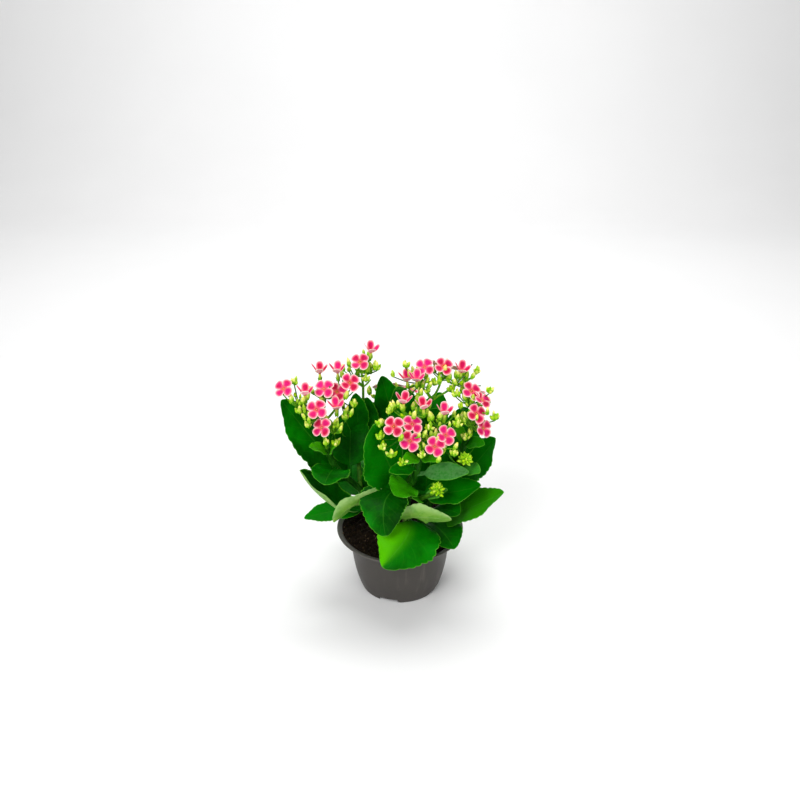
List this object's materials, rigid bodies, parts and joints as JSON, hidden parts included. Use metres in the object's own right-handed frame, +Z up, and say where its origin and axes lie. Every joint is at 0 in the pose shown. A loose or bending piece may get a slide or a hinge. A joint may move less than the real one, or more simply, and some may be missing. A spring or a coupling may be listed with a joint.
{
  "type": "potted flaming katy",
  "caption": "Flaming katy houseplant with thick scalloped leaves and sprays of small flat flowers on upright stalks, growing in a round tapered nursery pot with a flared lip.",
  "frame": {"origin": "centre of the flat pad in the pot's underside, at the height the pot stands on", "axes": "+Z up along the pot's axis, +X to the plant's right-hand side in the front view, -Y towards the viewer of the front"},
  "size_m": [0.192, 0.1616, 0.2303],
  "materials": {
    "pot": "matt moulded taupe-grey plastic",
    "soil": "dark crumbly potting mix of peat and bark",
    "leaf": "smooth, waxy, satin",
    "flower": "soft matt petals, magenta with a white edge",
    "bud": "smooth, satin, yellow-green"
  },
  "bodies": {
    "root": {"pot": "pot", "soil": "soil", "shoot_left": "leaf", "shoot_front": "leaf", "shoot_right": "leaf", "shoot_back": "leaf", "spray_left": "flower", "spray_upper_left": "flower", "spray_front": "flower", "spray_back": "flower", "spray_right": "flower", "spray_rear": "flower", "head_front": "bud", "head_right": "bud"}
  },
  "joints": []
}
